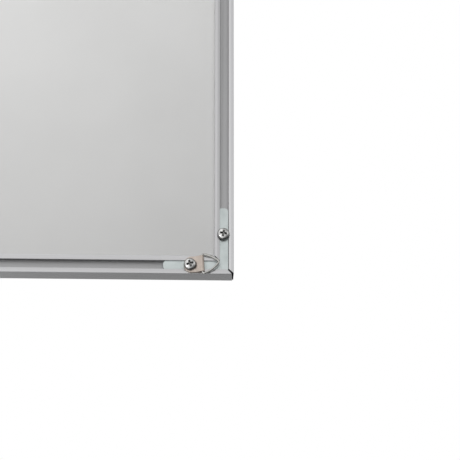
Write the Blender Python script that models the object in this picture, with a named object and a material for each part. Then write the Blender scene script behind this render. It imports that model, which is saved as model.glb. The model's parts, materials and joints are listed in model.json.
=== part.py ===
"""Poster frame: four mitred aluminium rails held together at the corners by brackets in their back channels.

Metres, +Z up. The frame stands upright, as it hangs. Its front faces -Y and its back +Y, and the origin is the
centre of its whole box. Left and right are as seen from the front, so left is -X.

A rail's section is written in two coordinates: inward, from the frame's outer face towards its middle, and
depth, from the plane of the back lips towards the front.
"""

import math

import bmesh
import bpy
from mathutils import Matrix, Vector
from mathutils.geometry import intersect_sphere_sphere_2d

# The picture pack
POSTER_WIDTH = 0.6096
POSTER_HEIGHT = 0.9144
GLAZING_THICKNESS = 0.0025
POSTER_THICKNESS = 0.0003
BACKING_THICKNESS = 0.0032
PACK_EDGE_CLEARANCE = 0.0010

# Gap kept between pieces that touch
TOUCH_GAP = 0.0003

# The rail's section
OUTER_WALL = 0.0015
INNER_WALL = 0.0012
FACE_WIDTH = 0.0100
FACE_THICKNESS = 0.0016
WEB_THICKNESS = 0.0012
LIP_THICKNESS = 0.0011
OUTER_LIP_WIDTH = 0.0036
SLOT_WIDTH = 0.0064
INNER_LIP_WIDTH = 0.0036
LIP_SLOPE_WIDTH = 0.0017
LIP_SLOPE_DROP = 0.0002
FRONT_EDGE_RADIUS = 0.0012
FACE_LIP_RADIUS = 0.0005
BACK_EDGE_RADIUS = 0.0004
SLOT_EDGE_RADIUS = 0.0003
MITRE_GAP_OUTSIDE = 0.0010
MITRE_GAP_INSIDE = 0.0003

# Corner brackets, flat zinc plated steel
BRACKET_REACH = 0.0500
BRACKET_THICKNESS = 0.0020
BRACKET_BITE = 0.0004
BRACKET_SHIFT_IN_END_RAIL = 0.00065
BRACKET_END_RADIUS = 0.0027
BRACKET_CORNER_RADIUS = 0.0010
SCREW_DISTANCE_IN_END_RAIL = 0.0298
SCREW_DISTANCE_IN_SIDE_RAIL = 0.0311
SCREW_SHIFT_IN_SIDE_RAIL = -0.0005
SCREW_TIP_ROOM = 0.0016

# Pan head screws with a cross recess
HEAD_BITE = 0.00105
HEAD_HEIGHT = 0.0028
HEAD_RIM_HEIGHT = 0.0012
HEAD_UNDER_CHAMFER = 0.0002
SHANK_DIAMETER = 0.0040
TIP_CHAMFER = 0.0005
TIP_PROUD = 0.0005
RECESS_SPAN = 0.0050
RECESS_WING = 0.0012
RECESS_DEPTH = 0.0019
RECESS_BOTTOM_SHARE = 0.45
RECESS_OVERRUN = 0.0005
SCREW_FIRST_TURN = math.radians(-10)
SCREW_TURN_STEP = math.radians(27)

# Strap hangers and their rings
STRAP_WIDTH = 0.0116
STRAP_THICKNESS = 0.0006
STRAP_FLAT_MARGIN = 0.0004
STRAP_END_OFFSET = 0.0015
HANGER_REACH = 0.0086
HANGER_TURN = math.radians(4)
RING_WIRE_DIAMETER = 0.0015
RING_PLAY = 0.0003
RING_SIDE_CLEARANCE = 0.00035
RING_HEIGHT = 0.0118
RING_LEAN = 0.0009
RING_CORNER_RADIUS = 0.0016
RING_TIP_RADIUS = 0.0021
RING_SIDE_RADIUS = 0.0230

# Fineness of round shapes
EDGE_STEPS = 3
BRACKET_STEPS = 6
SCREW_STEPS = 20
DOME_STEPS = 4
BORE_STEPS = 24
BEND_STEPS = 12
STRAP_COLUMNS = 14
RING_BEND_STEPS = 6
RING_SIDE_STEPS = 7
CUT_OVERRUN = 0.0010
FILLET_LIMIT_SHARE = 0.45
SHARP_ANGLE = math.radians(32)

# Sizes that follow from those above
FRAME_WIDTH = POSTER_WIDTH + 2 * (OUTER_WALL + PACK_EDGE_CLEARANCE)
FRAME_HEIGHT = POSTER_HEIGHT + 2 * (OUTER_WALL + PACK_EDGE_CLEARANCE)
RAIL_WIDTH = OUTER_LIP_WIDTH + SLOT_WIDTH + INNER_LIP_WIDTH
GROOVE_DEPTH = GLAZING_THICKNESS + POSTER_THICKNESS + BACKING_THICKNESS + 4 * TOUCH_GAP
CHANNEL_DEPTH = TOUCH_GAP + BRACKET_THICKNESS + SCREW_TIP_ROOM
CHANNEL_FLOOR = LIP_THICKNESS + CHANNEL_DEPTH
WEB_FRONT = CHANNEL_FLOOR + WEB_THICKNESS
RAIL_DEPTH = WEB_FRONT + GROOVE_DEPTH + FACE_THICKNESS
BRACKET_WIDTH = SLOT_WIDTH + 2 * BRACKET_BITE
SLOT_LINE = OUTER_LIP_WIDTH + SLOT_WIDTH / 2
END_RAIL_LINE = SLOT_LINE + BRACKET_SHIFT_IN_END_RAIL
SIDE_RAIL_LINE = SLOT_LINE + SCREW_SHIFT_IN_SIDE_RAIL
END_RAIL_SCREW = (SCREW_DISTANCE_IN_END_RAIL, END_RAIL_LINE)
SIDE_RAIL_SCREW = (SIDE_RAIL_LINE, SCREW_DISTANCE_IN_SIDE_RAIL)
BORE_RADIUS = SHANK_DIAMETER / 2 + TOUCH_GAP
HEAD_RADIUS = SLOT_WIDTH / 2 + HEAD_BITE
RING_WIRE_RADIUS = RING_WIRE_DIAMETER / 2
STRAP_STACK = 2 * STRAP_THICKNESS + 2 * TOUCH_GAP
BEND_RADIUS = RING_WIRE_RADIUS + RING_PLAY + STRAP_THICKNESS / 2
RING_AXIS_HEIGHT = TOUCH_GAP + STRAP_THICKNESS / 2 + BEND_RADIUS
RING_HALF_WIDTH = STRAP_WIDTH / 2 + RING_SIDE_CLEARANCE + RING_WIRE_RADIUS
HANGER_TOP = max(STRAP_STACK + TOUCH_GAP + HEAD_HEIGHT, RING_AXIS_HEIGHT + BEND_RADIUS + STRAP_THICKNESS / 2)
BACK_PLANE_Y = (RAIL_DEPTH - HANGER_TOP) / 2

# Each side's turn about Y in degrees, and the ways along X and Z that lead inward from each corner
SIDES = {"top": 0, "right": 90, "bottom": 180, "left": 270}
CORNERS = {"top_left": (1, -1), "top_right": (-1, -1), "bottom_right": (-1, 1), "bottom_left": (1, 1)}


def clear_scene():
    for item in list(bpy.data.objects):
        bpy.data.objects.remove(item, do_unlink=True)


def material(name, colour, roughness, metallic, transmission=0.0):
    made = bpy.data.materials.new(name)
    made.use_nodes = True
    shader = made.node_tree.nodes["Principled BSDF"]
    shader.inputs["Base Color"].default_value = (*colour, 1.0)
    shader.inputs["Roughness"].default_value = roughness
    shader.inputs["Metallic"].default_value = metallic
    shader.inputs["Transmission Weight"].default_value = transmission
    return made


def add_object(name, data, finish=None):
    made = bpy.data.objects.new(name, data)
    bpy.context.scene.collection.objects.link(made)
    if finish and not data.materials:
        data.materials.append(finish)
    return made


def mesh_of(name, shape):
    """The bmesh made a mesh, faces outward and round surfaces smooth."""
    bmesh.ops.recalc_face_normals(shape, faces=shape.faces)
    mesh = bpy.data.meshes.new(name)
    shape.to_mesh(mesh)
    shape.free()
    mesh.shade_smooth()
    mesh.set_sharp_from_angle(angle=SHARP_ANGLE)
    return mesh


def rounded_outline(corners, steps):
    """Points of an outline whose corners are ((x, y), radius). A fillet takes only its share of an edge."""
    points = []
    for index, (corner, radius) in enumerate(corners):
        here = Vector(corner)
        to_last = Vector(corners[index - 1][0]) - here
        to_next = Vector(corners[(index + 1) % len(corners)][0]) - here
        half = to_last.angle(to_next) / 2
        longest = FILLET_LIMIT_SHARE * min(to_last.length, to_next.length) * math.tan(half)
        radius = min(radius, longest)
        if radius == 0:
            points.append(here)
            continue
        to_last.normalize()
        to_next.normalize()
        centre = here + (to_last + to_next).normalized() * (radius / math.sin(half))
        spoke = here + to_last * (radius / math.tan(half)) - centre
        turn = math.copysign(math.pi - 2 * half, to_next.x * to_last.y - to_next.y * to_last.x)
        for step in range(steps + 1):
            points.append(centre + Matrix.Rotation(turn * step / steps, 2) @ spoke)
    return points


def arc(centre, radius, start, end, steps):
    """Points on a circle from one angle to another, both included."""
    angles = [start + (end - start) * step / steps for step in range(steps + 1)]
    return [Vector((centre[0] + radius * math.cos(a), centre[1] + radius * math.sin(a))) for a in angles]


def extruded(name, outline, place, travel):
    """A closed outline, put in space by place(x, y), filled and extruded by the vector travel."""
    shape = bmesh.new()
    base = shape.faces.new([shape.verts.new(place(*point)) for point in outline])
    grown = bmesh.ops.extrude_face_region(shape, geom=[base])["geom"]
    moved = [item for item in grown if isinstance(item, bmesh.types.BMVert)]
    bmesh.ops.translate(shape, verts=moved, vec=travel)
    return mesh_of(name, shape)


def carved(name, mesh, tools, sheet_thickness=0.0):
    """The mesh with the tools' meshes cut out of it. An open sheet is first given its thickness."""
    body = add_object(name, mesh)
    if sheet_thickness:
        sheet = body.modifiers.new("sheet metal", "SOLIDIFY")
        sheet.thickness = sheet_thickness
        sheet.offset = 0
        sheet.use_even_offset = True
    helpers = [body]
    for tool in tools:
        helper = add_object(f"{name}_cutter", tool)
        helper.hide_render = True
        helper.display_type = "WIRE"
        cut = body.modifiers.new("cut", "BOOLEAN")
        cut.operation = "DIFFERENCE"
        cut.solver = "EXACT"
        cut.object = helper
        helpers.append(helper)
    graph = bpy.context.evaluated_depsgraph_get()
    made = bpy.data.meshes.new_from_object(body.evaluated_get(graph))
    made.name = name
    made.shade_smooth()
    made.set_sharp_from_angle(angle=SHARP_ANGLE)
    for helper in helpers:
        bpy.data.objects.remove(helper, do_unlink=True)
    return made


def bore_mesh(place, depth):
    """A cylinder that cuts a screw's hole: place(x, y) puts its outline in space, and depth is a vector."""
    outline = arc((0, 0), BORE_RADIUS, 0, 2 * math.pi * (1 - 1 / BORE_STEPS), BORE_STEPS - 1)
    return extruded("bore", outline, place, depth)


def rail_section():
    """The section of a rail, as (inward, depth) corners with their radii, round from the outer back edge."""
    slot_outer = OUTER_LIP_WIDTH
    slot_inner = OUTER_LIP_WIDTH + SLOT_WIDTH
    channel_inner = RAIL_WIDTH - INNER_WALL
    groove_front = RAIL_DEPTH - FACE_THICKNESS
    corners = [
        ((0, 0), BACK_EDGE_RADIUS),
        ((0, RAIL_DEPTH), FRONT_EDGE_RADIUS),
        ((FACE_WIDTH, RAIL_DEPTH), FACE_LIP_RADIUS),
        ((FACE_WIDTH, groove_front), SLOT_EDGE_RADIUS),
        ((OUTER_WALL, groove_front), SLOT_EDGE_RADIUS),
        ((OUTER_WALL, WEB_FRONT), SLOT_EDGE_RADIUS),
        ((RAIL_WIDTH, WEB_FRONT), SLOT_EDGE_RADIUS),
        ((RAIL_WIDTH, 0), BACK_EDGE_RADIUS),
        ((slot_inner + LIP_SLOPE_WIDTH, 0), 0),
        ((slot_inner, LIP_SLOPE_DROP), SLOT_EDGE_RADIUS),
        ((slot_inner, LIP_THICKNESS), 0),
        ((channel_inner, LIP_THICKNESS), SLOT_EDGE_RADIUS),
        ((channel_inner, CHANNEL_FLOOR), SLOT_EDGE_RADIUS),
        ((OUTER_WALL, CHANNEL_FLOOR), SLOT_EDGE_RADIUS),
        ((OUTER_WALL, LIP_THICKNESS), SLOT_EDGE_RADIUS),
        ((slot_outer, LIP_THICKNESS), 0),
        ((slot_outer, LIP_SLOPE_DROP), SLOT_EDGE_RADIUS),
        ((slot_outer - LIP_SLOPE_WIDTH, 0), 0),
    ]
    return rounded_outline(corners, EDGE_STEPS)


def rail_mesh(name, length):
    """The section extruded, with both ends mitred. The mitre joint is a little more open at its outside."""

    def end_of(inward):
        opening = MITRE_GAP_OUTSIDE + (MITRE_GAP_INSIDE - MITRE_GAP_OUTSIDE) * inward / RAIL_WIDTH
        return length / 2 - inward - opening / math.sqrt(2)

    mesh = extruded(name, rail_section(), lambda inward, depth: (-length / 2, -depth, -inward), (length, 0, 0))
    for vertex in mesh.vertices:
        vertex.co.x = math.copysign(end_of(-vertex.co.z), vertex.co.x)
    return mesh


def add_rails(finish):
    """The mesh is made as the top rail, outer face at its origin, and turned about Y to each side."""
    lengths = {"top": FRAME_WIDTH, "right": FRAME_HEIGHT, "bottom": FRAME_WIDTH, "left": FRAME_HEIGHT}
    distances = {"top": FRAME_HEIGHT, "right": FRAME_WIDTH, "bottom": FRAME_HEIGHT, "left": FRAME_WIDTH}
    for side, degrees in SIDES.items():
        turn = math.radians(degrees)
        rail = add_object(f"rail_{side}", rail_mesh(f"rail_{side}", lengths[side]), finish)
        rail.rotation_euler = (0, turn, 0)
        outward = Vector((math.sin(turn), 0, math.cos(turn)))
        rail.location = outward * (distances[side] / 2) + Vector((0, BACK_PLANE_Y, 0))


def from_corner(corner, across, down, behind=0):
    """The way from a corner by its distances along the end rail, along the side rail and out of the back."""
    inward_x, inward_z = CORNERS[corner]
    return Vector((inward_x * across, behind, inward_z * down))


def corner_point(corner):
    """A corner's outermost point on the plane of the back lips."""
    return Vector((0, BACK_PLANE_Y, 0)) - from_corner(corner, FRAME_WIDTH / 2, FRAME_HEIGHT / 2)


def bracket_mesh(corner):
    """A flat L plate for the channels of a corner's two rails. Its threaded holes are plain bores here."""
    outer = SLOT_LINE - BRACKET_WIDTH / 2, END_RAIL_LINE - BRACKET_WIDTH / 2
    inner = SLOT_LINE + BRACKET_WIDTH / 2, END_RAIL_LINE + BRACKET_WIDTH / 2
    outline = [
        (outer, BRACKET_CORNER_RADIUS),
        ((BRACKET_REACH, outer[1]), BRACKET_END_RADIUS),
        ((BRACKET_REACH, inner[1]), BRACKET_END_RADIUS),
        (inner, BRACKET_CORNER_RADIUS),
        ((inner[0], BRACKET_REACH), BRACKET_END_RADIUS),
        ((outer[0], BRACKET_REACH), BRACKET_END_RADIUS),
    ]
    back = -(LIP_THICKNESS + TOUCH_GAP)
    plate = extruded(
        "plate",
        rounded_outline(outline, BRACKET_STEPS),
        lambda across, down: from_corner(corner, across, down, back),
        (0, -BRACKET_THICKNESS, 0),
    )
    bores = [
        bore_mesh(
            lambda x, y: from_corner(corner, across + x, down + y, back + CUT_OVERRUN),
            (0, -BRACKET_THICKNESS - 2 * CUT_OVERRUN, 0),
        )
        for across, down in (END_RAIL_SCREW, SIDE_RAIL_SCREW)
    ]
    return carved(f"corner_bracket_{corner}", plate, bores)


def add_brackets(finish):
    for corner in CORNERS:
        bracket = add_object(f"corner_bracket_{corner}", bracket_mesh(corner), finish)
        bracket.location = corner_point(corner)


def screw_mesh(name, shank_length):
    """A screw along Z with its head's seat at the origin: a domed head and a plain shank, turned as one."""
    shank = SHANK_DIAMETER / 2
    dome = HEAD_HEIGHT - HEAD_RIM_HEIGHT
    outline = [(0, -shank_length), (shank - TIP_CHAMFER, -shank_length), (shank, TIP_CHAMFER - shank_length)]
    outline += [(shank, 0), (HEAD_RADIUS - HEAD_UNDER_CHAMFER, 0), (HEAD_RADIUS, HEAD_UNDER_CHAMFER)]
    for step in range(DOME_STEPS):
        angle = math.pi / 2 * step / DOME_STEPS
        outline.append((HEAD_RADIUS * math.cos(angle), HEAD_RIM_HEIGHT + dome * math.sin(angle)))
    outline.append((0, HEAD_HEIGHT))
    shape = bmesh.new()
    line = [shape.verts.new((radius, 0, height)) for radius, height in outline]
    edges = [shape.edges.new(pair) for pair in zip(line, line[1:])]
    bmesh.ops.spin(
        shape,
        geom=line + edges,
        cent=(0, 0, 0),
        axis=(0, 0, 1),
        angle=2 * math.pi,
        steps=SCREW_STEPS,
        use_merge=True,
    )
    bmesh.ops.remove_doubles(shape, verts=shape.verts, dist=TOUCH_GAP / SCREW_STEPS)
    return mesh_of(name, shape)


def recess_mesh():
    """The recess's tapered cross, as wide as its span at the head's top, from above the head to its bottom."""
    span = RECESS_SPAN / 2
    wing = RECESS_WING / 2
    quarter = [Vector((span, -wing)), Vector((span, wing)), Vector((wing, wing))]
    outline = [Matrix.Rotation(math.pi / 2 * turn, 2) @ point for turn in range(4) for point in quarter]
    top = HEAD_HEIGHT + RECESS_OVERRUN
    travel = -(RECESS_OVERRUN + RECESS_DEPTH)
    mesh = extruded("recess", outline, lambda x, y: (x, y, top), (0, 0, travel))
    for vertex in mesh.vertices:
        share = 1 + (1 - RECESS_BOTTOM_SHARE) * (vertex.co.z - HEAD_HEIGHT) / RECESS_DEPTH
        vertex.co.x *= share
        vertex.co.y *= share
    return mesh


def add_screws(finish):
    """Two screws in each bracket. The ones in the top corners' side rails also clamp the hangers."""
    below_seat = TOUCH_GAP + LIP_THICKNESS + TOUCH_GAP + BRACKET_THICKNESS + TIP_PROUD
    recess = recess_mesh()
    plain = carved("screw", screw_mesh("blank", below_seat), [recess])
    long = carved("hanger_screw", screw_mesh("long_blank", below_seat + STRAP_STACK), [recess])
    outward = Matrix.Rotation(-math.pi / 2, 4, "X")
    angle = SCREW_FIRST_TURN
    for corner in CORNERS:
        for rail in corner.split("_"):
            on_side_rail = rail in ("left", "right")
            clamps_hanger = on_side_rail and corner.startswith("top")
            across, down = SIDE_RAIL_SCREW if on_side_rail else END_RAIL_SCREW
            seat = TOUCH_GAP + (STRAP_STACK if clamps_hanger else 0)
            place = Matrix.Translation(corner_point(corner) + from_corner(corner, across, down, seat))
            screw = add_object(f"screw_{corner}_in_{rail}_rail", long if clamps_hanger else plain, finish)
            screw.matrix_world = place @ Matrix.Rotation(angle, 4, "Y") @ outward
            angle += SCREW_TURN_STEP


def strap_path():
    """The middle line of a folded strap, seen from its side, as (along, height). Along starts at the screw."""
    low = TOUCH_GAP + STRAP_THICKNESS / 2
    high = low + STRAP_THICKNESS + TOUCH_GAP
    flat_end = HEAD_RADIUS + STRAP_FLAT_MARGIN
    run = HANGER_REACH - flat_end
    rise = RING_AXIS_HEIGHT - high
    distance = math.hypot(run, rise)
    slope = math.atan2(rise, run) + math.asin(BEND_RADIUS / distance)
    bend = arc((HANGER_REACH, RING_AXIS_HEIGHT), BEND_RADIUS, -math.pi / 2, math.pi / 2 + slope, BEND_STEPS)
    start = [Vector((STRAP_END_OFFSET, low)), Vector((flat_end, low))]
    return [*start, *bend, Vector((flat_end, high)), Vector((STRAP_END_OFFSET, high))]


def strap_mesh():
    """A sheet along the strap's path, given its thickness. Its two ends are half circles round the head."""
    shape = bmesh.new()
    radius = STRAP_WIDTH / 2
    path = strap_path()
    columns = []
    for column in range(STRAP_COLUMNS + 1):
        angle = math.pi * column / STRAP_COLUMNS
        across = -radius * math.cos(angle)
        points = list(path)
        if 0 < column < STRAP_COLUMNS:
            end = STRAP_END_OFFSET - radius * math.sin(angle)
            points = [Vector((end, path[0].y)), *path, Vector((end, path[-1].y))]
        columns.append([shape.verts.new((across, height, along)) for along, height in points])
    for left, right in zip(columns, columns[1:]):
        if len(left) < len(right):
            shape.faces.new((left[0], right[1], right[0]))
            shape.faces.new((left[-1], right[-1], right[-2]))
            right = right[1:-1]
        elif len(right) < len(left):
            shape.faces.new((right[0], left[0], left[1]))
            shape.faces.new((right[-1], left[-2], left[-1]))
            left = left[1:-1]
        for row in range(len(left) - 1):
            shape.faces.new((left[row], left[row + 1], right[row + 1], right[row]))
    hole = bore_mesh(lambda x, y: (x, -CUT_OVERRUN, y), (0, TOUCH_GAP + STRAP_STACK + 2 * CUT_OVERRUN, 0))
    return carved("hanger_plate", mesh_of("strap", shape), [hole], STRAP_THICKNESS)


def ring_points(lean):
    """The ring's wire line, as (across, up) from the middle of its base. The tip leans across from the middle.

    Each half is a corner arc, a bowed side and a part of the tip. The left one is drawn mirrored.
    """
    halves = []
    for way in (1, -1):
        corner = Vector((RING_HALF_WIDTH - RING_CORNER_RADIUS, RING_CORNER_RADIUS))
        tip = Vector((way * lean, RING_HEIGHT - RING_TIP_RADIUS))
        meets = intersect_sphere_sphere_2d(
            corner, RING_SIDE_RADIUS - RING_CORNER_RADIUS, tip, RING_SIDE_RADIUS - RING_TIP_RADIUS
        )
        side = min(meets, key=lambda centre: centre.x)
        at_corner = math.atan2(corner.y - side.y, corner.x - side.x)
        at_tip = math.atan2(tip.y - side.y, tip.x - side.x)
        half = arc(corner, RING_CORNER_RADIUS, -math.pi / 2, at_corner, RING_BEND_STEPS)
        half += arc(side, RING_SIDE_RADIUS, at_corner, at_tip, RING_SIDE_STEPS)[1:]
        half += arc(tip, RING_TIP_RADIUS, at_tip, math.pi / 2, RING_BEND_STEPS)[1:]
        halves.append([Vector((way * point.x, point.y)) for point in half])
    return halves[0] + halves[1][-2::-1]


def ring_curve(name, lean):
    curve = bpy.data.curves.new(name, "CURVE")
    curve.dimensions = "3D"
    curve.bevel_depth = RING_WIRE_RADIUS
    curve.bevel_resolution = 2
    spline = curve.splines.new("POLY")
    points = ring_points(lean)
    spline.points.add(len(points) - 1)
    for target, (across, up) in zip(spline.points, points):
        target.co = (across, 0, up, 1)
    spline.use_cyclic_u = True
    return curve


def add_hangers(strap_finish, ring_finish):
    """On each side rail a strap, folded round the ring's base wire, is clamped by the bracket's screw."""
    strap = strap_mesh()
    for side, way in (("left", 1), ("right", -1)):
        pivot = add_object(f"hanger_{side}", None)
        corner = f"top_{side}"
        pivot.location = corner_point(corner) + from_corner(corner, *SIDE_RAIL_SCREW)
        pivot.rotation_euler = (0, way * HANGER_TURN, 0)
        plate = add_object(f"hanger_plate_{side}", strap, strap_finish)
        plate.parent = pivot
        curve = ring_curve(f"hanger_ring_{side}", way * RING_LEAN)
        ring = add_object(f"hanger_ring_{side}", curve, ring_finish)
        ring.parent = pivot
        ring.location = (0, RING_AXIS_HEIGHT, HANGER_REACH)


def sheet_mesh(name, thickness):
    shape = bmesh.new()
    bmesh.ops.create_cube(shape, size=1)
    bmesh.ops.scale(shape, vec=(POSTER_WIDTH, thickness, POSTER_HEIGHT), verts=shape.verts)
    return mesh_of(name, shape)


def add_pack(finishes):
    """Glazing, poster and backing board, from the front to the back, in the rails' groove."""
    front = BACK_PLANE_Y - RAIL_DEPTH + FACE_THICKNESS
    layers = {
        "glazing_sheet": GLAZING_THICKNESS,
        "poster_sheet": POSTER_THICKNESS,
        "backing_board": BACKING_THICKNESS,
    }
    for name, thickness in layers.items():
        sheet = add_object(name, sheet_mesh(name, thickness), finishes[name])
        sheet.location = (0, front + TOUCH_GAP + thickness / 2, 0)
        front += TOUCH_GAP + thickness


def main():
    clear_scene()
    aluminium = material("rail_aluminium", (0.62, 0.62, 0.63), 0.36, 1.0)
    zinc = material("bracket_zinc", (0.56, 0.61, 0.60), 0.42, 1.0)
    plated = material("screw_plating", (0.74, 0.74, 0.73), 0.18, 1.0)
    strap = material("hanger_nickel", (0.66, 0.59, 0.54), 0.34, 1.0)
    wire = material("ring_wire", (0.70, 0.69, 0.67), 0.22, 1.0)
    clear_sheet = material("glazing_acrylic", (1.0, 1.0, 1.0), 0.03, 0.0, 1.0)
    paper = material("poster_paper", (0.86, 0.86, 0.84), 0.65, 0.0)
    board = material("backing_grey", (0.60, 0.60, 0.60), 0.60, 0.0)
    add_rails(aluminium)
    add_brackets(zinc)
    add_screws(plated)
    add_hangers(strap, wire)
    add_pack({"glazing_sheet": clear_sheet, "poster_sheet": paper, "backing_board": board})


main()
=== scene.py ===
import json
import math

import bmesh
import bpy
import numpy as np
from mathutils import Matrix, Vector
from mathutils.geometry import intersect_sphere_sphere_2d, tessellate_polygon


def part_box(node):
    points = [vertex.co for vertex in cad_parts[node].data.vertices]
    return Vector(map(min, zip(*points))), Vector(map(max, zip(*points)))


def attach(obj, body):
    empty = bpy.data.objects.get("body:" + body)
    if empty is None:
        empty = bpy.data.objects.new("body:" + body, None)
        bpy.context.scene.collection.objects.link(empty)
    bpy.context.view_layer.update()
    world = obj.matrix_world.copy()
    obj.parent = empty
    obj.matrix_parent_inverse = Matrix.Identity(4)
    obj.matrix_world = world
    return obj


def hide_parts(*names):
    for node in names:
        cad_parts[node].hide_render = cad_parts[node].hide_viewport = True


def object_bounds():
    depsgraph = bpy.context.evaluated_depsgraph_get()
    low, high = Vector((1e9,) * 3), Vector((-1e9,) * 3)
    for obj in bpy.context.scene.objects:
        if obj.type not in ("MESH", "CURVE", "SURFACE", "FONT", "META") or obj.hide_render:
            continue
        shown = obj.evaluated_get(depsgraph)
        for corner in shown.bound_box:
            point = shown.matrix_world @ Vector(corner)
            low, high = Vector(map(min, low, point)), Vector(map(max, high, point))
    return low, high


# Poster frame of aluminium section, seen from its back. +Z is up as it hangs, the back faces +Y.
# Its pieces are worked out in millimetres. The stage, the lamps and the noises are in metres.
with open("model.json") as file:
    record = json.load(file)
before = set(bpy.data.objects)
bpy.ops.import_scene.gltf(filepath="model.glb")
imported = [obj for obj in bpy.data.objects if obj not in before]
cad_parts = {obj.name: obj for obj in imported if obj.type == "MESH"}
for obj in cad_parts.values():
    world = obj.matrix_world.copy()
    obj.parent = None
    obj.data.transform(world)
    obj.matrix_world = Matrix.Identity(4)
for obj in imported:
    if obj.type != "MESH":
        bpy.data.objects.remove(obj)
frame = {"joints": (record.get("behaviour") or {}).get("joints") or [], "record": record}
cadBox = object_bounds()
mm = 0.001
sharpAngle = math.radians(35)  # an edge that turns by more than this is shaded sharp
# each corner's ways inward, in X and in Z
corners = {"top_left": (1, -1), "top_right": (-1, -1), "bottom_right": (-1, 1), "bottom_left": (1, 1)}
bodyOf = {node: body for body, nodes in frame["record"]["behaviour"]["bodies"].items() for node in nodes}


# What the frame's own nodes and joints give

def boxOf(node):
    # the low and the high corner of a node's own box, in millimetres
    return [np.array(corner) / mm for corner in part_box(node)]


def screwNode(corner, rail):
    return f"screw_{corner}_in_{rail}_rail"


def ringJoint(side):
    return next(joint for joint in frame["joints"] if joint["name"] == f"ring_{side}_hinge")


def hangerTurn(side):
    # the hanger's turn about Y: the angle that its ring's hinge axis makes with -X
    axis = Vector(ringJoint(side)["axis"])
    return Matrix.Rotation(math.atan2(axis.z, -axis.x), 4, "Y")


# Outlines and meshes

def gridQuads(rows, columns, wrap=True):
    # the four corner indices of each cell of a grid of points, whose rows close on themselves with wrap set
    cells = columns if wrap else columns - 1
    row, column = np.meshgrid(np.arange(rows - 1), np.arange(cells), indexing="ij")
    after = (column + 1) % columns
    here, below = row * columns, (row + 1) * columns
    return np.stack([here + column, here + after, below + after, below + column], axis=-1).reshape(-1, 4)


def roundedOutline(points, radii, steps):
    # each corner of a closed outline becomes an arc that touches its two sides: the centre lies on the
    # bisector, radius / sin(half the corner's angle) away, and the spoke to the first touching point turns
    # through what the corner's angle leaves of half a turn
    points, radii = np.asarray(points, float), np.asarray(radii, float)[:, None]
    toLast = np.roll(points, 1, axis=0) - points
    toNext = np.roll(points, -1, axis=0) - points
    toLast /= np.linalg.norm(toLast, axis=1, keepdims=True)
    toNext /= np.linalg.norm(toNext, axis=1, keepdims=True)
    half = np.arccos(np.clip((toLast * toNext).sum(1), -1, 1))[:, None] / 2
    bisector = toLast + toNext
    bisector /= np.linalg.norm(bisector, axis=1, keepdims=True)
    centre = points + bisector * radii / np.sin(half)
    spoke = points + toLast * radii / np.tan(half) - centre
    side = np.sign(toNext[:, :1] * toLast[:, 1:] - toNext[:, 1:] * toLast[:, :1])
    turn = side * (math.pi - 2 * half) * np.linspace(0, 1, steps + 1)
    x = centre[:, :1] + np.cos(turn) * spoke[:, :1] - np.sin(turn) * spoke[:, 1:]
    y = centre[:, 1:] + np.sin(turn) * spoke[:, :1] + np.cos(turn) * spoke[:, 1:]
    return np.stack([x, y], axis=-1).reshape(-1, 2)


def insetOf(outline, distance):
    # a closed outline moved into its own area by a distance, each point square to the line between its
    # neighbours. The sign of the outline's area says which side is in.
    along = np.roll(outline, -1, axis=0) - np.roll(outline, 1, axis=0)
    along /= np.linalg.norm(along, axis=1, keepdims=True)
    x, y = outline.T
    clockwise = (x * np.roll(y, -1) - y * np.roll(x, -1)).sum() < 0
    inward = np.stack([-along[:, 1], along[:, 0]], axis=-1) * (-1 if clockwise else 1)
    return outline + inward * distance


def evenTurns(count):
    return np.arange(count) * 2 * math.pi / count


def circleOf(radius, count):
    # points at even turns: the cosine and the sine of each turn, times the radius
    turn = evenTurns(count)
    return radius * np.stack([np.cos(turn), np.sin(turn)], axis=-1)


def arcPoints(centre, radius, start, end, steps):
    # points at even turns between two angles: the centre, and the angle's cosine and sine times the radius
    angle = np.linspace(start, end, steps + 1)
    return np.array(centre) + radius * np.stack([np.cos(angle), np.sin(angle)], axis=-1)


def plateSurface(loops, front, back, edge, steps):
    # a flat plate between two depths: each outline is carried round a quarter circle at the front edge, up
    # the wall and round a quarter circle at the back edge, and the two faces are filled. All outlines after
    # the first are holes.
    turn = np.linspace(0, math.pi / 2, steps + 1)
    inset = np.concatenate([edge * (1 - np.sin(turn)), edge * (1 - np.sin(turn[::-1]))])
    level = np.concatenate([front + edge * (1 - np.cos(turn)), back - edge * (1 - np.cos(turn[::-1]))])
    points, faces, frontRims, backRims = [], [], [], []
    base = 0
    for number, loop in enumerate(loops):
        inwardSign = -1 if number else 1
        for distance, y in zip(inset, level):
            points.append(np.column_stack([insetOf(loop, inwardSign * distance), np.full(len(loop), y)]))
        faces += (gridQuads(len(level), len(loop)) + base).tolist()
        rim = np.arange(len(loop)) + base
        frontRims.append(rim)
        backRims.append(rim + (len(level) - 1) * len(loop))
        base += len(level) * len(loop)
    points = np.concatenate(points)[:, [0, 2, 1]]
    for rims in (frontRims, backRims):
        if len(rims) == 1:
            faces.append(rims[0].tolist())
            continue
        order = np.concatenate(rims)
        flat = [[Vector((points[i][0], points[i][2])) for i in rim] for rim in rims]
        faces += [[int(order[i]) for i in triangle] for triangle in tessellate_polygon(flat)]
    return points, faces


def turnOutwards(mesh):
    shape = bmesh.new()
    shape.from_mesh(mesh)
    bmesh.ops.recalc_face_normals(shape, faces=shape.faces)
    shape.to_mesh(mesh)
    shape.free()


def meshOf(points, faces):
    # a mesh of points in millimetres
    mesh = bpy.data.meshes.new("shape")
    mesh.from_pydata((np.asarray(points) * mm).tolist(), [], [list(face) for face in faces])
    turnOutwards(mesh)
    return mesh


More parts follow.
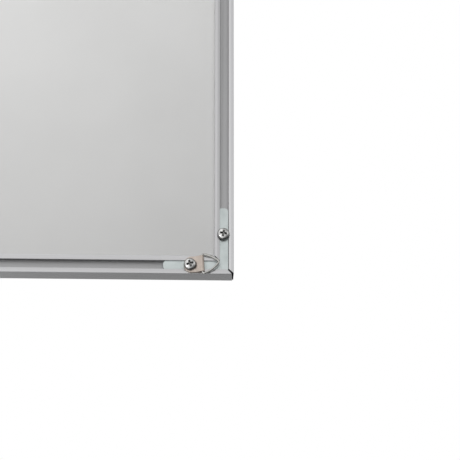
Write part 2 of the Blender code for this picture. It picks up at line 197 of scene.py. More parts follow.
def baked(mesh, modifiers):
    # the mesh with modifiers applied: each is its type with its settings, whose lengths are in metres, and a
    # cutter is made an object for the time
    body = bpy.data.objects.new("baking", mesh)
    bpy.context.scene.collection.objects.link(body)
    helpers = [body]
    for kind, settings in modifiers:
        modifier = body.modifiers.new(kind, kind)
        for key, value in settings.items():
            if key == "object":
                helper = bpy.data.objects.new("cutter", value)
                bpy.context.scene.collection.objects.link(helper)
                helpers.append(helper)
                value = helper
            setattr(modifier, key, value)
    graph = bpy.context.evaluated_depsgraph_get()
    made = bpy.data.meshes.new_from_object(body.evaluated_get(graph))
    for helper in helpers:
        bpy.data.objects.remove(helper, do_unlink=True)
    turnOutwards(made)
    return made


def finishPiece(name, mesh, finishes, node, finishOf=None, weighted=True):
    # one piece that takes a node's place. finishOf gives each face's finish by its number in the list.
    mesh.name = name
    mesh.materials.clear()
    for finish in finishes:
        mesh.materials.append(finish)
    if finishOf is not None:
        mesh.polygons.foreach_set("material_index", np.asarray(finishOf, np.int32))
    mesh.shade_smooth()
    mesh.set_sharp_from_angle(angle=sharpAngle)
    piece = bpy.data.objects.new(name, mesh)
    bpy.context.scene.collection.objects.link(piece)
    if weighted:
        even = piece.modifiers.new("flat faces stay flat", "WEIGHTED_NORMAL")
        even.keep_sharp = True
    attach(piece, bodyOf[node])
    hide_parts(node)


# Nodes that the finishes share

def addNode(tree, kind, inputs=None, **settings):
    # a node with its settings, and with inputs that are values or come from other nodes
    node = tree.nodes.new(kind)
    for key, value in settings.items():
        setattr(node, key, value)
    for key, value in (inputs or {}).items():
        if isinstance(value, bpy.types.NodeSocket):
            tree.links.new(value, node.inputs[key])
        else:
            node.inputs[key].default_value = value
    return node


def newFinish(name, metallic=0.0):
    finish = bpy.data.materials.new(name)
    finish.use_nodes = True
    tree = finish.node_tree
    shader = tree.nodes["Principled BSDF"]
    shader.inputs["Metallic"].default_value = metallic
    return finish, tree, shader


def noiseOf(tree, scale, detail=4.0, roughness=0.55):
    # noise on the piece's own coordinates in metres: scale is how many features lie in a metre, along every
    # axis or along X, Y and Z
    place = addNode(tree, "ShaderNodeTexCoord").outputs["Object"]
    scales = np.broadcast_to(scale, 3).tolist()
    mapped = addNode(tree, "ShaderNodeMapping", {"Vector": place, "Scale": scales})
    inputs = {"Vector": mapped.outputs["Vector"], "Scale": 1.0, "Detail": detail, "Roughness": roughness}
    return addNode(tree, "ShaderNodeTexNoise", inputs).outputs["Fac"]


def between(tree, value, low, high, fromLow=0.3, fromHigh=0.7):
    # a value stretched from one range to another, and held at its ends: a noise mostly lies in 0.3 to 0.7
    inputs = {"Value": value, "From Min": fromLow, "From Max": fromHigh, "To Min": low, "To Max": high}
    return addNode(tree, "ShaderNodeMapRange", inputs).outputs["Result"]


def mathOf(tree, operation, first, second):
    return addNode(tree, "ShaderNodeMath", {0: first, 1: second}, operation=operation).outputs[0]


def mixOf(tree, share, first, second):
    # a number: the first at share 0, the second at share 1
    return addNode(tree, "ShaderNodeMix", {0: share, 2: first, 3: second}).outputs[0]


def blendOf(tree, share, first, second):
    # a colour: the first at share 0, the second at share 1. Each is red, green and blue, or another node's.
    inputs = {0: share}
    for place, colour in ((6, first), (7, second)):
        inputs[place] = colour if isinstance(colour, bpy.types.NodeSocket) else (*colour, 1.0)
    return addNode(tree, "ShaderNodeMix", inputs, data_type="RGBA").outputs[2]


def mottled(tree, noise, first, second):
    # a colour that wanders between two with a noise
    return blendOf(tree, between(tree, noise, 0.0, 1.0), first, second)


def seenBy(tree, *rays):
    # one for rays of these kinds, and zero for others
    path = addNode(tree, "ShaderNodeLightPath")
    seen = path.outputs[rays[0]]
    for ray in rays[1:]:
        seen = mathOf(tree, "MAXIMUM", seen, path.outputs[ray])
    return seen


def dress(tree, shader, colour, roughness, relief, reliefHeight):
    # colour and roughness come from nodes, and a noise raises the surface by up to a height in millimetres
    tree.links.new(colour, shader.inputs["Base Color"])
    tree.links.new(roughness, shader.inputs["Roughness"])
    addRelief(tree, shader, relief, reliefHeight)


def addRelief(tree, shader, relief, reliefHeight):
    bump = addNode(tree, "ShaderNodeBump", {"Height": relief, "Distance": reliefHeight * mm})
    tree.links.new(bump.outputs["Normal"], shader.inputs["Normal"])


# Rails of anodised aluminium section

railLook = {
    "lip": 3.6, "slot": 6.4, "slopeWidth": 1.7, "slopeDrop": 0.2, "lipThickness": 1.1,
    "outerWall": 1.5, "innerWall": 1.2, "web": 1.2, "channelFloor": 5.0,
    "faceWidth": 10.0, "faceThickness": 1.6,
    "frontRadius": 0.5, "faceLipRadius": 0.5, "backRadius": 0.4, "innerBackRadius": 0.2,
    "slotRadius": 0.12, "undersideRadius": 0.15, "insideRadius": 0.3, "cornerSteps": 7,
    # the mitre's opening at the back: outside, by the rail's own axis (0 end rails, 2 side rails), and inside
    "gapOutside": {0: 1.0, 2: 1.9}, "gapInside": 0.35,
    "closedShare": 0.5,  # of that opening, gone at the front
    "sawnEdge": 0.06,
    "skin": {"colour": (0.66, 0.66, 0.67), "streak": (0.61, 0.61, 0.62), "roughness": (0.24, 0.34)},
    "channel": {"colour": (0.58, 0.58, 0.585), "streak": (0.51, 0.51, 0.515), "roughness": (0.44, 0.56)},
    "dieLines": 2600.0, "dieLinesAlong": 4.0, "streaks": 60.0, "streaksAlong": 3.0, "relief": 0.004,
    # painted shade: the sawn faces are near black and reflect little, standing for the deep shade inside the
    # mitre's gap; sawn aluminium itself is bright
    "sawnPaintedShade": (0.025, 0.025, 0.025), "sawnRoughness": (0.80, 0.95), "sawnSpecular": 0.2,
    "sawMarks": (900.0, 5200.0, 900.0), "sawnRelief": 0.01,
}


def aluminiumFinish(name, lengthways, tone):
    # satin anodised: fine die lines and broad streaks run along the section, whose axis is an index
    look = railLook
    finish, tree, shader = newFinish(name, metallic=1.0)
    lineScale, streakScale = np.full(3, look["dieLines"]), np.full(3, look["streaks"])
    lineScale[lengthways] = look["dieLinesAlong"]
    streakScale[lengthways] = look["streaksAlong"]
    lines = noiseOf(tree, lineScale, detail=3.0)
    streaks = noiseOf(tree, streakScale, detail=2.0)
    colour = mottled(tree, streaks, tone["colour"], tone["streak"])
    dress(tree, shader, colour, between(tree, lines, *tone["roughness"]), lines, look["relief"])
    return finish


def sawnFinish():
    look = railLook
    finish, tree, shader = newFinish("sawn_faces_painted_shade")
    marks = noiseOf(tree, look["sawMarks"], detail=3.0)
    # near black: painted shade of the mitre's gap
    shader.inputs["Base Color"].default_value = (*look["sawnPaintedShade"], 1.0)
    tree.links.new(between(tree, marks, *look["sawnRoughness"]), shader.inputs["Roughness"])
    shader.inputs["Specular IOR Level"].default_value = look["sawnSpecular"]
    addRelief(tree, shader, marks, look["sawnRelief"])
    return finish


def railSection(width, depth):
    # the section from the outer back edge round the front, up to the inner back edge, and through the slot
    # round the channel. A row is a corner's way inward, its way forward, its radius, and the finish from
    # there on by its number in the rail's list.
    look = railLook
    satin, dull = 0, 2
    slotOut, slotIn = look["lip"], look["lip"] + look["slot"]
    webFront = look["channelFloor"] + look["web"]
    grooveFront = depth - look["faceThickness"]
    channelEnd = width - look["innerWall"]
    inside, underside = look["insideRadius"], look["undersideRadius"]
    rows = np.array([
        (0, 0, look["backRadius"], satin),
        (0, depth, look["frontRadius"], satin),
        (look["faceWidth"], depth, look["faceLipRadius"], satin),
        (look["faceWidth"], grooveFront, inside, satin),
        (look["outerWall"], grooveFront, inside, satin),
        (look["outerWall"], webFront, inside, satin),
        (width, webFront, inside, satin),
        (width, 0, look["innerBackRadius"], satin),
        (slotIn + look["slopeWidth"], 0, look["backRadius"], satin),
        (slotIn, look["slopeDrop"], look["slotRadius"], satin),
        (slotIn, look["lipThickness"], underside, dull),
        (channelEnd, look["lipThickness"], inside, dull),
        (channelEnd, look["channelFloor"], inside, dull),
        (look["outerWall"], look["channelFloor"], inside, dull),
        (look["outerWall"], look["lipThickness"], inside, dull),
        (slotOut, look["lipThickness"], underside, dull),
        (slotOut, look["slopeDrop"], look["slotRadius"], satin),
        (slotOut - look["slopeWidth"], 0, look["backRadius"], satin),
    ])
    outline = roundedOutline(rows[:, :2], rows[:, 2], look["cornerSteps"])
    return outline, np.repeat(rows[:, 3], look["cornerSteps"] + 1)


def addRails():
    # the section is carried along the rail and cut off at 45 degrees: a point's end lies back from the
    # frame's outer face by as much as the point lies inward, and by the mitre's opening over the root of two.
    # The opening narrows to the inside and to the front, and a small bevel runs round each cut.
    look = railLook
    outside, inside = {}, {}
    for axis, way in ((0, "across"), (2, "upright")):
        outside[axis] = aluminiumFinish(f"satin_aluminium_{way}", axis, look["skin"])
        inside[axis] = aluminiumFinish(f"dull_channel_{way}", axis, look["channel"])
    sawn = sawnFinish()
    halfSize = {0: (boxOf("rail_right")[1] - boxOf("rail_left")[0])[0] / 2,
                2: (boxOf("rail_top")[1] - boxOf("rail_bottom")[0])[2] / 2}
    for side, axis, outward in (("top", 0, 1), ("bottom", 0, -1), ("left", 2, -1), ("right", 2, 1)):
        low, high = boxOf(f"rail_{side}")
        across = 2 - axis
        width, depth = (high - low)[[across, 1]]
        outerFace = high[across] if outward > 0 else low[across]
        wide, narrow = look["gapOutside"][axis], look["gapInside"]
        section, finishAround = railSection(width, depth)
        bevel = look["sawnEdge"]
        cutFace = insetOf(section, bevel)
        cuts = ((cutFace, -1, 0), (section, -1, bevel), (section, 1, bevel), (cutFace, 1, 0))
        rings = []
        for outline, end, back in cuts:
            inward, forward = outline.T
            opening = wide + (narrow - wide) * inward / width
            opening *= 1 - look["closedShare"] * forward / depth
            ring = np.zeros((len(outline), 3))
            ring[:, axis] = end * (halfSize[axis] - inward - opening / math.sqrt(2) - back)
            ring[:, across] = outerFace - outward * inward
            ring[:, 1] = high[1] - forward
            rings.append(ring)
        count = len(section)
        ends = [list(range(count)), list(range((len(rings) - 1) * count, len(rings) * count))]
        mesh = meshOf(np.concatenate(rings), gridQuads(len(rings), count).tolist() + ends)
        finishes = [outside[axis], sawn, inside[axis]]
        parts = np.concatenate([np.tile(finishAround, len(rings) - 1), [1, 1]])
        finishPiece(f"{side}_rail_section", mesh, finishes, f"rail_{side}", parts)
    print("rails made")


# Corner brackets of zinc plated steel

bracketLook = {
    "legWidth": 7.2, "endRadius": 2.7, "cornerRadius": 1.0, "punchedEdge": 0.16, "holeRadius": 2.1,
    "cornerSteps": 8, "edgeSteps": 5, "holeSteps": 32,
    "colour": (0.69, 0.744, 0.739), "dull": (0.605, 0.66, 0.655), "roughness": (0.30, 0.40),
    "clouds": 140.0, "grain": 2400.0, "relief": 0.012,
}


def zincFinish():
    look = bracketLook
    finish, tree, shader = newFinish("bright_zinc", metallic=1.0)
    clouds = noiseOf(tree, look["clouds"], detail=5.0, roughness=0.6)
    grain = noiseOf(tree, look["grain"], detail=2.0)
    colour = mottled(tree, clouds, look["colour"], look["dull"])
    dress(tree, shader, colour, between(tree, clouds, *look["roughness"]), grain, look["relief"])
    return finish


def addBrackets():
    # an L of two legs between the corners of the node's own box, with round ends and two screw holes
    look = bracketLook
    finish = zincFinish()
    circle = circleOf(look["holeRadius"], look["holeSteps"])
    radii = [look["cornerRadius"], look["endRadius"], look["endRadius"]] * 2
    for corner, (inX, inZ) in corners.items():
        node = f"corner_bracket_{corner}"
        low, high = boxOf(node)
        outer = np.array([low[0] if inX > 0 else high[0], low[2] if inZ > 0 else high[2]])
        reachX, reachZ = (high - low)[[0, 2]]
        leg = look["legWidth"]
        ways = np.array([(0, 0), (reachX, 0), (reachX, leg), (leg, leg), (leg, reachZ), (0, reachZ)])
        outline = roundedOutline(outer + ways * (inX, inZ), radii, look["cornerSteps"])
        holes = []
        for rail in corner.split("_"):
            screwLow, screwHigh = boxOf(screwNode(corner, rail))
            holes.append(circle + ((screwLow + screwHigh) / 2)[[0, 2]])
        plate = plateSurface([outline] + holes, low[1], high[1], look["punchedEdge"], look["edgeSteps"])
        finishPiece(f"{corner}_bracket_plate", meshOf(*plate), [finish], node)
    print("brackets made")


# Pan head screws

screwLook = {
    "headHeight": 2.8, "rimHeight": 1.2, "edge": 0.16, "seatLevel": 0.01, "shank": 2.0, "tipChamfer": 0.5,
    "pitch": 0.7, "threadDepth": 0.38,
    "flatShare": 0.1,  # of the thread's wave, flat at its crest and at its root
    "runOutShare": 0.25,  # of the pitch, plain under the seat before the thread begins to deepen
    "stepsInPitch": 12, "plainLength": 0.8,  # of the shank, which gets no steps of its own
    "edgeSteps": 5, "domeSteps": 15, "around": 64,
    "recessSpan": 5.6, "recessWing": 1.7, "recessDepth": 1.9, "recessPoint": 0.35,
    "bottomShare": 0.45,  # of the recess's width, left at its bottom
    "recessRadii": (0.25, 0.25, 0.12), "recessSteps": 4, "cutterRise": 0.5,
    "recessMargin": 0.16,  # how far under the dome a face's middle lies at least where it is in the recess
    "firstTurn": -10.0, "turnStep": 27.0,  # degrees
    "head": {"colour": (0.82, 0.82, 0.81), "clouded": (0.70, 0.70, 0.69), "roughness": (0.07, 0.17)},
    # painted shade: the recess is made dark for the shade inside the driver's cross
    "recess": {"colour": (0.20, 0.20, 0.20), "clouded": (0.42, 0.42, 0.41), "roughness": (0.25, 0.45)},
    # painted shade: all below the seat, the head's underside and the thread, is made dark for the shade in
    # the gap under the head
    "thread": {"colour": (0.30, 0.30, 0.295), "clouded": (0.42, 0.42, 0.41), "roughness": (0.35, 0.50)},
    # painted shade: the head's side wall turns near black and dull, standing for the shade and the dark gap
    # under the head
    "paintedRimShade": (0.11, 0.11, 0.11), "rimRoughness": 0.32,
    "darkTo": 1.65, "brightFrom": 2.25,  # heights on the head between which the dark rim fades
    "clouds": 700.0, "relief": 0.01,
}


def platedFinish(name, tone, paintedRimShade=None):
    # cloudy plating; where a painted rim shade is given, the mesh's own rim share turns it dark and dull, a
    # painted shade on the head's side wall
    look = screwLook
    finish, tree, shader = newFinish(name, metallic=1.0)
    clouds = noiseOf(tree, look["clouds"])
    colour = mottled(tree, clouds, tone["colour"], tone["clouded"])
    rough = between(tree, clouds, *tone["roughness"])
    if paintedRimShade:
        # the rim share blends in the painted rim shade
        share = addNode(tree, "ShaderNodeAttribute", attribute_name="rim").outputs["Fac"]
        colour = blendOf(tree, share, colour, paintedRimShade)
        rough = mixOf(tree, share, rough, look["rimRoughness"])
    dress(tree, shader, colour, rough, clouds, look["relief"])
    return finish


def screwSurface(headRadius, below):
    # a turned surface about Z with its seat at zero: radius and height are functions of the place along the
    # outline, and the thread takes a wave off the radius whose phase climbs by one pitch in each turn
    look = screwLook
    edge, rim, top = look["edge"], look["rimHeight"], look["headHeight"]
    shank, chamfer, pitch = look["shank"], look["tipChamfer"], look["pitch"]
    quarter = np.linspace(0, math.pi / 2, look["edgeSteps"] + 1)
    dome = np.linspace(0, math.pi / 2, look["domeSteps"] + 1)[:-1]
    threadSteps = int((below - look["plainLength"]) / pitch * look["stepsInPitch"])
    radius = np.concatenate([
        [shank - chamfer], np.full(threadSteps, shank), [shank],
        headRadius - edge + edge * np.sin(quarter), headRadius * np.cos(dome),
    ])
    height = np.concatenate([
        [-below], np.linspace(-below + chamfer, -pitch / 2, threadSteps), [0.0],
        edge * (1 - np.cos(quarter)), rim + (top - rim) * np.sin(dome),
    ])
    turn = evenTurns(look["around"])
    phase = height[:, None] / pitch - turn / (2 * math.pi)
    wave = np.abs(2 * (phase - np.floor(phase)) - 1)
    cut = look["threadDepth"] * np.clip((wave - look["flatShare"]) / (1 - 2 * look["flatShare"]), 0, 1)
    runOut = np.clip(-height / pitch - look["runOutShare"], 0, 1) * (height > -below)
    around = radius[:, None] - cut * runOut[:, None]
    heights = np.broadcast_to(height[:, None], around.shape)
    points = np.stack([around * np.cos(turn), around * np.sin(turn), heights], axis=-1).reshape(-1, 3)
    rows, columns = around.shape
    faces = gridQuads(rows, columns).tolist()
    tip, crown, lastRow = len(points), len(points) + 1, (rows - 1) * columns
    faces += [[tip, (i + 1) % columns, i] for i in range(columns)]
    faces += [[crown, lastRow + i, lastRow + (i + 1) % columns] for i in range(columns)]
    return np.concatenate([points, [[0, 0, -below], [0, 0, top]]]), faces


def recessSurface():
    # the driver's cross: one arm's corners at each quarter turn make an outline that narrows evenly from
    # above the head to the recess's bottom, and ends in a point
    look = screwLook
    span, wing = look["recessSpan"] / 2, look["recessWing"] / 2
    arm = np.array([(span, -wing), (span, wing), (wing, wing)])
    arms = [arm @ np.array([[math.cos(turn), math.sin(turn)], [-math.sin(turn), math.cos(turn)]])
            for turn in evenTurns(4)]
    outline = roundedOutline(np.concatenate(arms), look["recessRadii"] * 4, look["recessSteps"])
    slope = (1 - look["bottomShare"]) / look["recessDepth"]
    levels = np.array([look["cutterRise"], -look["recessDepth"]])
    count = len(outline)
    rings = [np.column_stack([outline * (1 + slope * level), np.full(count, look["headHeight"] + level)])
             for level in levels]
    point = 2 * count
    faces = gridQuads(2, count).tolist() + [list(range(count))]
    faces += [[point, count + i, count + (i + 1) % count] for i in range(count)]
    end = [0, 0, look["headHeight"] - look["recessDepth"] - look["recessPoint"]]
    return np.concatenate(rings + [[end]]), faces


def screwParts(mesh, headRadius):
    # each face's finish: 0 on the head, 1 in the recess, 2 below the seat. The recess lies under the dome,
    # whose height at a radius is that of a quarter of an ellipse.
    look = screwLook
    margin = look["recessMargin"]
    centres = np.array([polygon.center for polygon in mesh.polygons]) / mm
    radius, height = np.hypot(centres[:, 0], centres[:, 1]), centres[:, 2]
    rise = np.sqrt(np.clip(1 - (radius / headRadius) ** 2, 0, 1))
    dome = look["rimHeight"] + (look["headHeight"] - look["rimHeight"]) * rise
    inRecess = (radius < look["recessSpan"] / 2 + margin) & (height > margin) & (height < dome - margin)
    return np.where(height < look["seatLevel"], 2, np.where(inRecess, 1, 0))


def markPaintedRimShade(mesh):
    # each point's painted rim shade share: full on the head's side wall, falling evenly with height to none
    # on the dome
    look = screwLook
    places = np.zeros(len(mesh.vertices) * 3, np.float32)
    mesh.vertices.foreach_get("co", places)
    height = places[2::3] / mm
    share = np.clip((look["brightFrom"] - height) / (look["brightFrom"] - look["darkTo"]), 0, 1)
    mesh.attributes.new("rim", "FLOAT", "POINT").data.foreach_set("value", share.astype(np.float32))


def addScrews():
    # each is modelled about Z and then turned so that its head looks out of the back
    look = screwLook
    finishes = [
        platedFinish("plated_screw_with_painted_rim_shade", look["head"], look["paintedRimShade"]),
        platedFinish("recess_painted_shade", look["recess"]),
        platedFinish("thread_and_underside_painted_shade", look["thread"]),
    ]
    cutter = meshOf(*recessSurface())
    nodes = [screwNode(corner, rail) for corner in corners for rail in corner.split("_")]
    for number, node in enumerate(nodes):
        low, high = boxOf(node)
        headRadius = round((high[0] - low[0]) / 2, 2)
        below = high[1] - low[1] - look["headHeight"]
        blank = meshOf(*screwSurface(headRadius, below))
        mesh = baked(blank, [("BOOLEAN", {"operation": "DIFFERENCE", "solver": "EXACT", "object": cutter})])
        parts = screwParts(mesh, headRadius)
        markPaintedRimShade(mesh)
        middle = (low + high) / 2
        seat = Vector((middle[0], high[1] - look["headHeight"], middle[2])) * mm
        turn = Matrix.Rotation(math.radians(look["firstTurn"] + look["turnStep"] * number), 4, "Y")
        mesh.transform(Matrix.Translation(seat) @ turn @ Matrix.Rotation(-math.pi / 2, 4, "X"))
        finishPiece(f"{node}_threaded", mesh, finishes, node, parts)
    print("screws made")


# Strap hangers, each a folded strip of nickel plated sheet

strapLook = {
    "width": 11.6, "thickness": 0.6, "gap": 0.3, "flatEnd": 4.0, "endOffset": 1.5, "reach": 8.6,
    "wireRoom": 1.5, "play": 0.3, "holeRadius": 2.2, "edge": 0.14,
    "drillSpan": (-1.0, 5.0),  # heights over the lip between which the screw hole is drilled
    "columns": 48, "bendSteps": 28, "flatSteps": 5, "holeSteps": 48, "edgeSteps": 3,
    "bevelFrom": 0.9,  # the least turn of an edge that is broken, in radians
    "colour": (0.625, 0.545, 0.485), "dull": (0.56, 0.485, 0.43), "roughness": (0.28, 0.42),
    "brushLines": (2600.0, 900.0, 120.0), "clouds": 260.0, "relief": 0.01,
}


def strapFinish():
    look = strapLook
    finish, tree, shader = newFinish("warm_nickel_strap", metallic=1.0)
    lines = noiseOf(tree, look["brushLines"], detail=3.0)
    clouds = noiseOf(tree, look["clouds"], detail=3.0)
    colour = mottled(tree, clouds, look["colour"], look["dull"])
    dress(tree, shader, colour, between(tree, lines, *look["roughness"]), lines, look["relief"])
    return finish


def strapSheet():
    # the strap's middle surface: its path lies flat on the lip, goes round the wire in a circle about the
    # wire's axis, leaves that circle where the line back to the upper flat touches it, and is flat again
    # under the screw's head. Each column across it starts and ends on a half circle.
    look = strapLook
    low = look["gap"] + look["thickness"] / 2
    high = low + look["thickness"] + look["gap"]
    bend = look["wireRoom"] / 2 + look["play"] + look["thickness"] / 2
    axis = low + bend
    run, rise = look["reach"] - look["flatEnd"], axis - high
    slope = math.atan2(rise, run) + math.asin(bend / math.hypot(run, rise))
    turn = np.linspace(-math.pi / 2, math.pi / 2 + slope, look["bendSteps"])
    along = np.concatenate([[look["flatEnd"]], look["reach"] + bend * np.cos(turn), [look["flatEnd"]]])
    height = np.concatenate([[low], axis + bend * np.sin(turn), [high]])
    half = look["width"] / 2
    angle = math.pi * np.arange(1, look["columns"]) / look["columns"]
    across = -half * np.cos(angle)
    end = look["endOffset"] - half * np.sin(angle)
    flat = np.linspace(0, 1, look["flatSteps"] + 1)[:-1]
    first = end + (look["flatEnd"] - end) * flat[:, None]
    alongGrid = np.concatenate([first, np.repeat(along[:, None], len(across), 1), first[::-1]])
    heights = np.concatenate([np.full(len(flat), low), height, np.full(len(flat), high)])
    grid = np.stack(np.broadcast_arrays(across, heights[:, None], alongGrid), axis=-1)
    return grid.reshape(-1, 3), gridQuads(*alongGrid.shape, wrap=False)


def drillSurface():
    # a closed tube about Y, for the strap's screw hole
    look = strapLook
    count = look["holeSteps"]
    ring = circleOf(look["holeRadius"], count)
    rings = [np.column_stack([ring[:, 0], np.full(count, y), ring[:, 1]]) for y in look["drillSpan"]]
    ends = [list(range(count)), list(range(count, 2 * count))]
    return np.concatenate(rings), gridQuads(2, count).tolist() + ends


def addStraps():
    # the strip gets its thickness, its hole and its broken edges, and is turned about the screw that holds it
    look = strapLook
    finish = strapFinish()
    for side in ("left", "right"):
        mesh = baked(meshOf(*strapSheet()), [
            ("SOLIDIFY", {"thickness": look["thickness"] * mm, "offset": 0, "use_even_offset": True}),
            ("BOOLEAN", {"operation": "DIFFERENCE", "solver": "EXACT", "object": meshOf(*drillSurface())}),
            ("BEVEL", {"width": look["edge"] * mm, "segments": look["edgeSteps"],
                       "limit_method": "ANGLE", "angle_limit": look["bevelFrom"]}),
        ])
        screwLow, screwHigh = boxOf(screwNode(f"top_{side}", side))
        middle = (screwLow + screwHigh) / 2
        place = Vector((middle[0], boxOf(f"rail_{side}")[1][1], middle[2])) * mm
        mesh.transform(Matrix.Translation(place) @ hangerTurn(side))
        finishPiece(f"{side}_hanger_strap", mesh, [finish], f"hanger_plate_{side}")
    print("straps made")


# Wire rings

ringLook = {
    "wire": 1.47, "halfWidth": 6.9, "height": 11.8, "lean": 0.9, "cornerRadius": 1.6, "tipRadius": 2.1,
    "sideRadius": 23.0,
    "bendSteps": 14, "sideSteps": 22, "baseSteps": 9, "around": 24,
    "colour": (0.60, 0.595, 0.57), "dull": (0.50, 0.495, 0.475), "roughness": (0.04, 0.09),
    "clouds": 500.0, "relief": 0.01,
}


def wireFinish():
    look = ringLook
    finish, tree, shader = newFinish("plated_wire", metallic=1.0)
    clouds = noiseOf(tree, look["clouds"])
    colour = mottled(tree, clouds, look["colour"], look["dull"])
    dress(tree, shader, colour, between(tree, clouds, *look["roughness"]), clouds, look["relief"])
    return finish


def ringLine(lean):
    # the wire's middle line from its base, in two halves: a corner arc, a bowed side and a part of the tip,
    # which leans across from the middle. A side touches both arcs, so its centre lies off each arc's centre
    # by its own radius less the arc's. The second half is drawn mirrored and turned back, and a straight base
    # closes the line.
    look = ringLook
    halves = []
    for way in (1, -1):
        corner = Vector((look["halfWidth"] - look["cornerRadius"], look["cornerRadius"]))
        tip = Vector((way * lean, look["height"] - look["tipRadius"]))
        meets = intersect_sphere_sphere_2d(
            corner, look["sideRadius"] - look["cornerRadius"], tip, look["sideRadius"] - look["tipRadius"]
        )
        side = min(meets, key=lambda point: point.x)
        atCorner = math.atan2(corner.y - side.y, corner.x - side.x)
        atTip = math.atan2(tip.y - side.y, tip.x - side.x)
        half = np.concatenate([
            arcPoints(corner, look["cornerRadius"], -math.pi / 2, atCorner, look["bendSteps"]),
            arcPoints(side, look["sideRadius"], atCorner, atTip, look["sideSteps"])[1:],
            arcPoints(tip, look["tipRadius"], atTip, math.pi / 2, look["bendSteps"])[1:],
        ])
        halves.append(half * [way, 1])
    line = np.concatenate([halves[0], halves[1][-2::-1]])
    base = np.linspace(line[-1], line[0], look["baseSteps"] + 1)[1:-1]
    return np.concatenate([line, base])


def ringSurface(lean):
    # a round section carried along the closed line: its plane holds the line's normal and the Y axis, and the
    # last ring of points is joined to the first
    look = ringLook
    line = ringLine(lean)
    along = np.roll(line, -1, axis=0) - np.roll(line, 1, axis=0)
    along /= np.linalg.norm(along, axis=1, keepdims=True)
    normal = np.stack([along[:, 1], -along[:, 0]], axis=-1)
    turn = evenTurns(look["around"])
    radius = look["wire"] / 2
    x = line[:, :1] + radius * normal[:, :1] * np.cos(turn)
    z = line[:, 1:] + radius * normal[:, 1:] * np.cos(turn)
    y = np.broadcast_to(radius * np.sin(turn), x.shape)
    points = np.stack([x, y, z], axis=-1).reshape(-1, 3)
    return points, gridQuads(len(line) + 1, look["around"]) % len(points)


def addRings():
    finish = wireFinish()
    for side, way in (("left", 1), ("right", -1)):
        mesh = meshOf(*ringSurface(way * ringLook["lean"]))
        mesh.transform(Matrix.Translation(ringJoint(side)["pos_m"]) @ hangerTurn(side))
        finishPiece(f"{side}_wire_ring", mesh, [finish], f"hanger_ring_{side}", weighted=False)
    print("rings made")


# Board, paper and acrylic

packLook = {
    "boardEdge": 0.4, "sheetEdge": 0.25, "cornerRadius": 0.6, "cornerSteps": 4, "edgeSteps": 4,
    "backFacing": 0.5,  # the least Y of a face's normal where the board's coat covers it
    "board": (0.595, 0.595, 0.59), "boardDark": (0.56, 0.56, 0.555), "boardRoughness": (0.46, 0.58),
    "boardClouds": 9.0, "boardGrain": 1100.0, "boardRelief": 0.02,
    "core": {"colour": (0.23, 0.15, 0.09), "mottling": (0.34, 0.24, 0.15), "roughness": 0.85,
             "fibres": (1500.0, 3000.0, 1500.0), "detail": 5.0, "contrast": 0.7, "relief": 0.05},
    "paper": {"colour": (0.86, 0.86, 0.84), "mottling": (0.8299, 0.8299, 0.8106), "roughness": 0.7,
              "fibres": 1600.0, "detail": 4.0, "contrast": 0.6, "relief": 0.01},
    "paperWave": 0.09, "paperSteps": (60, 90),  # across and up
    "waveAcross": 71.0, "waveUp": 113.0, "waveAslant": 57.0, "waveShift": 0.6, "aslantShare": 0.5,
    "acrylic": (0.99, 0.996, 0.993), "acrylicIor": 1.49,
    "acrylicHaze": 5.0, "acrylicRoughness": (0.008, 0.03),
}


def coatedFinish():
    look = packLook
    finish, tree, shader = newFinish("grey_coated_board")
    clouds = noiseOf(tree, look["boardClouds"], detail=3.0)
    grain = noiseOf(tree, look["boardGrain"], detail=2.0)
    colour = mottled(tree, clouds, look["board"], look["boardDark"])
    dress(tree, shader, colour, between(tree, grain, *look["boardRoughness"]), grain, look["boardRelief"])
    return finish


def fibrousFinish(name, look):
    finish, tree, shader = newFinish(name)
    fibres = noiseOf(tree, look["fibres"], look["detail"], look["contrast"])
    tree.links.new(mottled(tree, fibres, look["colour"], look["mottling"]), shader.inputs["Base Color"])
    shader.inputs["Roughness"].default_value = look["roughness"]
    addRelief(tree, shader, fibres, look["relief"])
    return finish


def acrylicFinish():
    # clear sheet that reflects and bends light, and lets the lamps through to the paper
    look = packLook
    finish, tree, shader = newFinish("clear_acrylic")
    tint = (*look["acrylic"], 1.0)
    shader.inputs["Base Color"].default_value = tint
    shader.inputs["Transmission Weight"].default_value = 1.0
    shader.inputs["IOR"].default_value = look["acrylicIor"]
    haze = noiseOf(tree, look["acrylicHaze"], detail=2.0)
    tree.links.new(between(tree, haze, *look["acrylicRoughness"]), shader.inputs["Roughness"])
    clear = addNode(tree, "ShaderNodeBsdfTransparent", {"Color": tint})
    layers = {0: seenBy(tree, "Is Shadow Ray"), 1: shader.outputs["BSDF"], 2: clear.outputs["BSDF"]}
    mixed = addNode(tree, "ShaderNodeMixShader", layers)
    tree.links.new(mixed.outputs["Shader"], tree.nodes["Material Output"].inputs["Surface"])
    return finish


def sheetMesh(node, edge):
    # a rectangular plate as large as the node's own box
    look = packLook
    low, high = boxOf(node)
    rectangle = [(low[0], low[2]), (high[0], low[2]), (high[0], high[2]), (low[0], high[2])]
    outline = roundedOutline(rectangle, [look["cornerRadius"]] * 4, look["cornerSteps"])
    return meshOf(*plateSurface([outline], low[1], high[1], edge, look["edgeSteps"]))


def boardParts(mesh):
    # each face's finish: 0 where it looks out of the back, 1 on the bare edges and front
    normals = np.zeros(len(mesh.polygons) * 3, np.float32)
    mesh.polygons.foreach_get("normal", normals)
    return np.where(normals[1::3] > packLook["backFacing"], 0, 1)


